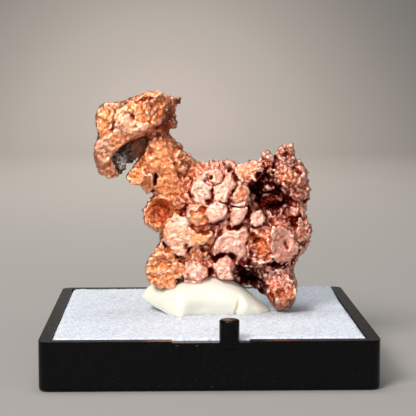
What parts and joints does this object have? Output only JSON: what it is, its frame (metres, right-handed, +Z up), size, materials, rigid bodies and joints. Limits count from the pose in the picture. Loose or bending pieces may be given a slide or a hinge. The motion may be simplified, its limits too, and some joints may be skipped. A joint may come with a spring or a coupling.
{
  "type": "native copper nugget on display base",
  "caption": "Hackly native copper nugget with an overhanging hood, set in white mineral tack on a foam pad in a shallow square black display base.",
  "frame": {"origin": "centre of the display base's underside", "axes": "+Z up, +X to the right and +Y to the back, seen from the side of the base that carries the peg"},
  "size_m": [0.0318, 0.0321, 0.0275],
  "materials": {
    "base_plastic": "gloss",
    "foam": "matte",
    "tack": "satin",
    "copper": "satin",
    "rock": "matte"
  },
  "bodies": {
    "root": {"tray": "base_plastic", "foam_pad": "foam", "mineral_tack": "tack", "copper_nugget": "copper", "host_rock": "rock"}
  },
  "joints": []
}
